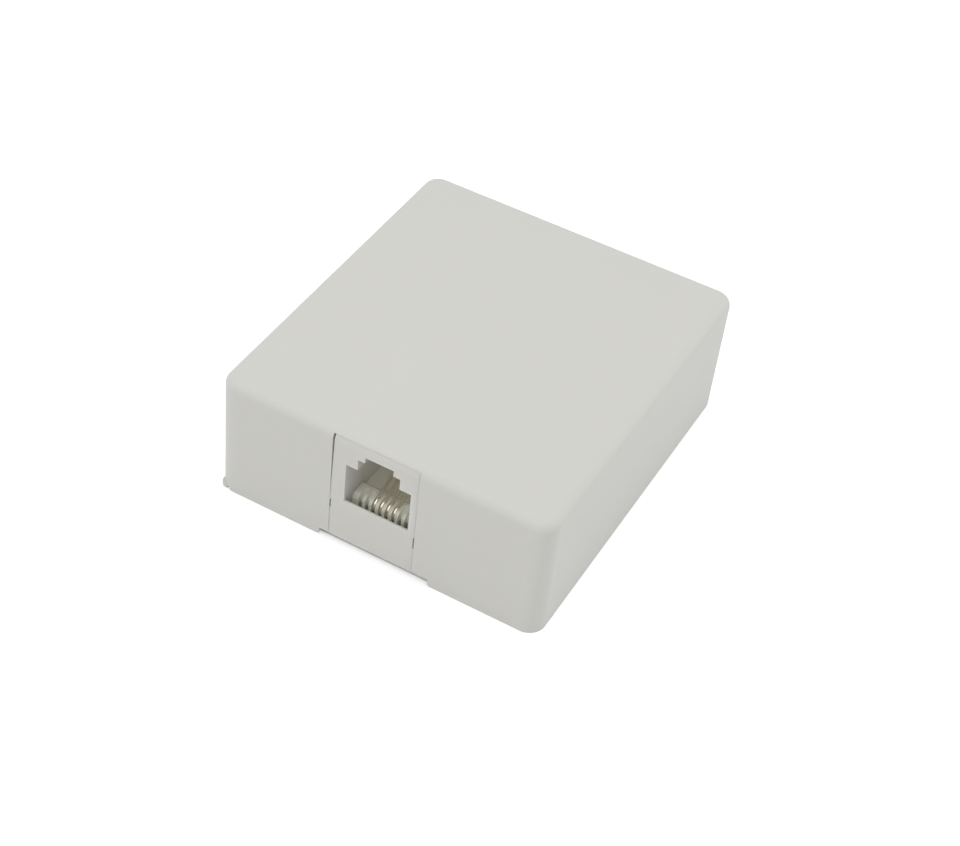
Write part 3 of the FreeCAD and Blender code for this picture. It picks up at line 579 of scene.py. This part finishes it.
def make_thread():
    """The tooth swept along a screw line, its top hidden in the head and its tip drawn in."""
    start_line(THREAD_RADIUS - TOOTH, -thread_length - 2 * PITCH)
    draw_on(TOOTH, FLANK)
    draw_on(0, CREST)
    draw_on(-TOOTH, FLANK)
    bpy.ops.object.mode_set(mode="OBJECT")
    thread = bpy.context.object
    turns = math.ceil(thread_length / PITCH)
    apply_modifier(thread, "SCREW", screw_offset=PITCH, iterations=turns + SPARE_TURNS,
                   steps=STEPS_PER_TURN, render_steps=STEPS_PER_TURN)
    bpy.ops.object.mode_set(mode="EDIT")
    bpy.ops.mesh.select_all(action="SELECT")
    bpy.ops.mesh.remove_doubles(threshold=1e-6)
    cut_flat(head_height / 3, use_fill=True, clear_outer=True)
    cut_flat(-thread_length, use_fill=True, clear_inner=True)
    bpy.ops.transform.resize(
        value=(TIP_SHARE, TIP_SHARE, 1), center_override=(0, 0, -thread_length))
    bpy.ops.mesh.select_all(action="SELECT")
    bpy.ops.mesh.normals_make_consistent(inside=False)
    bpy.ops.object.mode_set(mode="OBJECT")
    soften(35)
    print(f"thread: {turns} turns, {len(thread.data.polygons)} faces")
    return thread


print(f"a tooth {TOOTH / MM:.1f} mm deep at a pitch of {PITCH / MM:.3f} mm")

# %% [markdown]
# ## One screw for four terminals
#
# A driver leaves the slots of real screws at any angle; here all four stand a little turned from
# the walls. Each copy gets its own mesh, which is moved instead of the object, so that the
# finished screws stand at the origin like the solids and turn about the same axes.

# %% Joining and copying
SLOT_TURN = math.radians(25)


def join(pieces, name):
    deselect()
    for piece in pieces:
        piece.select_set(True)
    bpy.context.view_layer.objects.active = pieces[0]
    bpy.ops.object.join()
    pieces[0].name = name
    return pieces[0]


def copy_to(master, name, move):
    """A copy with its own mesh, moved in the mesh so that the object stays at the origin."""
    copy = bpy.data.objects.new(name, master.data.copy())
    copy.data.transform(move)
    bpy.context.scene.collection.objects.link(copy)
    return copy


print(f"slots turned by {math.degrees(SLOT_TURN):.0f} degrees")


# %% The four screws
master_screw = join([make_head(), make_thread()], "master_screw")
master_screw.data.materials.append(screw_steel)
for corner in CORNERS:
    centre = middle_of(f"terminal_washer_{corner}")
    seat = Matrix.Translation((centre.x, centre.y, washer_top))
    screw = copy_to(master_screw, f"screw_{corner}", seat @ Matrix.Rotation(SLOT_TURN, 4, "Z"))
    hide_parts(f"terminal_screw_{corner}")
    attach(screw, f"screw_{corner}")
bpy.data.objects.remove(master_screw)
print(f"{len(CORNERS)} screws with threads")

# %% [markdown]
# ## The bare strands
#
# Each lead ends in a crimped barrel, and its seven bare strands look out of the far side towards
# the screw. A plain stub would look like solid wire. One strand is a thin cylinder with a rounded
# end, six copies stand round it, and a twist gives the bundle its lay. Two cuts across the
# strands give the twist points to bend at.

# %% A bundle of strands
STRAND_RADIUS = 0.08 * MM
STRAND_LENGTH = 2.6 * MM
RING_RADIUS = 2.05 * STRAND_RADIUS
RING_STRANDS = 6


def make_strand():
    """One strand along Z, with a rounded end and two cuts that let it bend."""
    deselect()
    bpy.ops.mesh.primitive_cylinder_add(
        vertices=10, radius=STRAND_RADIUS, depth=STRAND_LENGTH,
        location=(0, 0, STRAND_LENGTH / 2))
    strand = bpy.context.object
    bpy.ops.object.transform_apply()
    bpy.ops.object.mode_set(mode="EDIT")
    select_edges(strand, lambda point: point.z < 0.1 * STRAND_LENGTH)
    bpy.ops.mesh.bevel(offset=0.03 * MM, segments=2)
    cut_flat(STRAND_LENGTH * 0.35)
    cut_flat(STRAND_LENGTH * 0.70)
    bpy.ops.object.mode_set(mode="OBJECT")
    return strand


def make_bundle():
    """Six strands round a seventh, twisted by a little under a quarter turn."""
    strand = make_strand()
    ring = []
    for k in range(RING_STRANDS):
        spread = Matrix.Rotation(k * math.tau / RING_STRANDS, 4, "Z")
        step = Matrix.Translation((RING_RADIUS, 0, 0))
        ring.append(copy_to(strand, f"strand_{k}", spread @ step))
    bundle = join([strand, *ring], "strands")
    apply_modifier(bundle, "SIMPLE_DEFORM", deform_method="TWIST", deform_axis="Z",
                   angle=math.radians(70))
    soften(40)
    return bundle


print(f"strands {2 * STRAND_RADIUS / MM:.2f} mm wide, {STRAND_LENGTH / MM:.1f} mm long")


# %% The four bundles
BARREL_START = 4.3 * MM
BARREL_LIFT = 1.05 * MM
PULLED_IN = 0.6 * MM
LUG_TURNS = {"front_left": -20, "rear_left": -75, "rear_right": 75, "front_right": 20}
master_strands = make_bundle()
master_strands.data.materials.append(strand_copper)
for corner in CORNERS:
    centre = middle_of(f"terminal_washer_{corner}")
    lug_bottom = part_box(f"spade_lug_{corner}")[0].z
    place = Matrix.Translation((centre.x, centre.y, lug_bottom + BARREL_LIFT))
    heading = Matrix.Rotation(math.radians(LUG_TURNS[corner]), 4, "Z")
    out = Matrix.Translation((0, BARREL_START - PULLED_IN, 0))
    lying = Matrix.Rotation(math.radians(-90), 4, "X")
    strands = copy_to(
        master_strands, f"strands_{corner}", place @ heading @ out @ lying)
    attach(strands, "base")
bpy.data.objects.remove(master_strands)
print(f"{len(CORNERS)} bundles of {RING_STRANDS + 1} strands")

# %% [markdown]
# ## The floor
#
# The box stands on a plain white floor. Plain white paper in this light would look a light grey,
# and more light on it would wash out the box. So the floor gives off a little light that only the
# camera and reflections see: it looks white, with the box's soft shadow left on it. Close to the
# base plate and under it that light fades out, which paints a shadow: a darker band round the
# plate, and the fine dark line in the gap of the notch.

# %% The floor
FLOOR_SIDE, FLOOR_DROP = 4.0, 0.02 * MM
FLOOR_GLOW = 0.38
# Painted shadow: the floor's glow is left out up to this far beside the base plate and is full
# beyond.
PAINTED_SHADOW_UNTIL, PAINTED_SHADOW_FADED = 0.45 * MM, 0.75 * MM
deselect()
bpy.ops.mesh.primitive_plane_add(size=FLOOR_SIDE, location=(0, 0, -FLOOR_DROP))
floor = bpy.context.object
floor.name = "floor"
bpy.ops.object.transform_apply(location=True)
print(f"floor {FLOOR_SIDE:.0f} m square")

# %% White paper
paper = Finish("white_paper")
paper.set(Base_Color=rgba(0.86, 0.86, 0.86), Roughness=0.9, Specular_IOR_Level=0.0)
paper.bump(paper.noise(2 * MM), 0.01 * MM)
plate_low, plate_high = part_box("base_plate")
plate_middle, plate_half = (plate_low + plate_high) / 2, (plate_high - plate_low) / 2
beside_x = abs(paper.along("X") - plate_middle.x) - plate_half.x
beside_y = abs(paper.along("Y") - plate_middle.y) - plate_half.y
beside = beside_x.math("MAXIMUM", beside_x, beside_y)
glow = paper.node("ShaderNodeEmission", {}, {"Color": rgba(1, 1, 1), "Strength": FLOOR_GLOW})
both = paper.node("ShaderNodeAddShader", {}, {0: paper.shader.outputs[0], 1: glow.outputs[0]})
# Painted shadow: near the base plate and under it the camera glow is left out, so a darker band
# lies round the plate.
glow_outside_painted_shadow = paper.looked_at() * paper.ramp(beside, PAINTED_SHADOW_UNTIL, PAINTED_SHADOW_FADED)
choice = paper.node("ShaderNodeMixShader", {}, {
    0: glow_outside_painted_shadow, 1: paper.shader.outputs[0], 2: both.outputs[0]})
paper.feed(paper.tree.nodes["Material Output"].inputs["Surface"], choice.outputs[0])
floor.data.materials.append(paper.material)
print(f"white paper, glowing from {PAINTED_SHADOW_UNTIL / MM} mm beside the base plate")

# %% [markdown]
# ## The sky
#
# The box is lit like a piece in a studio tent, from all round. An even white world does that
# without any lamp in sight. It gives two thirds of full white as light, so that the lamps can
# still shape the box, and full white where it is looked at or mirrored.

# %% The sky
class Sky(Finish):
    """The light from all round, with the same methods as a material."""

    def __init__(self, name):
        self.world = bpy.data.worlds.new(name)
        self.world.use_nodes = True
        self.tree = self.world.node_tree
        self.shader = self.tree.nodes["Background"]


SKY_LIGHT = 0.67
sky = Sky("studio")
sky.set(Color=rgba(1, 1, 1), Strength=SKY_LIGHT + (1 - SKY_LIGHT) * sky.looked_at())
bpy.context.scene.world = sky.world
print(f"sky light {SKY_LIGHT}")

# %% [markdown]
# ## The lamps
#
# Under an even sky alone a pale box looks flat. One large soft lamp overhead makes the top a
# little brighter than the walls, and two weak ones reach along the diagonal, so that each upright
# corner turns from light to shade. Small lamps would throw hard shadows, so all three are wide.

# %% The lamps
BOX = Vector((0, 0, 0))


def soft_lamp(name, place, side, power):
    """A square lamp that faces the box."""
    light = bpy.data.lights.new(name, "AREA")
    light.size = side
    light.energy = power
    lamp = bpy.data.objects.new(name, light)
    lamp.location = place
    lamp.rotation_euler = (BOX - Vector(place)).to_track_quat("-Z", "Y").to_euler()
    bpy.context.scene.collection.objects.link(lamp)
    print(f"{name}: {power} W, {side} m wide")


soft_lamp("overhead", (0.0, -0.10, 0.75), 0.7, 1.9)
soft_lamp("left_fill", (-0.52, -0.52, 0.30), 0.4, 0.65)
soft_lamp("right_fill", (0.52, 0.52, 0.30), 0.4, 0.65)

# %% [markdown]
# ## The camera
#
# The box is seen from above and from the right of its jack, through a long lens that keeps its
# sides nearly parallel. The camera could be aimed by a constraint, but a small roll and an aim a
# little beside the box's middle are easier to state in full. So its place is worked out from its
# heading, its climb above the horizon and its distance, and its three axes are put together in a
# matrix.

# %% Where the camera stands
heading, climb, roll = math.radians(26.756), math.radians(42.965), math.radians(5.406)
distance, aside, above = 277.57 * MM, 8.54 * MM, 4.14 * MM
back = Vector((
    math.sin(heading) * math.cos(climb),
    -math.cos(heading) * math.cos(climb),
    math.sin(climb)))
level = Vector((0, 0, 1)).cross(back).normalized()
upward = back.cross(level)
right = level * math.cos(roll) + upward * math.sin(roll)
up = upward * math.cos(roll) - level * math.sin(roll)
box_middle = Vector((0, 0, height / 2))
stand = box_middle - aside * right - above * up + distance * back
print(f"camera {distance / MM:.0f} mm away, {math.degrees(climb):.0f} degrees up")

# %% The camera
view = bpy.data.cameras.new("camera")
view.sensor_width = 36.0
view.lens = 74.24
view.shift_x = 0.0625
view.shift_y = -0.0058
view.clip_start = 0.01
camera = bpy.data.objects.new("camera", view)
turn = Matrix((right, up, back)).transposed()
camera.matrix_world = Matrix.Translation(stand) @ turn.to_4x4()
bpy.context.scene.collection.objects.link(camera)
bpy.context.scene.camera = camera
bpy.context.scene.view_settings.view_transform = "Standard"
print(f"lens {view.lens:.1f} mm")
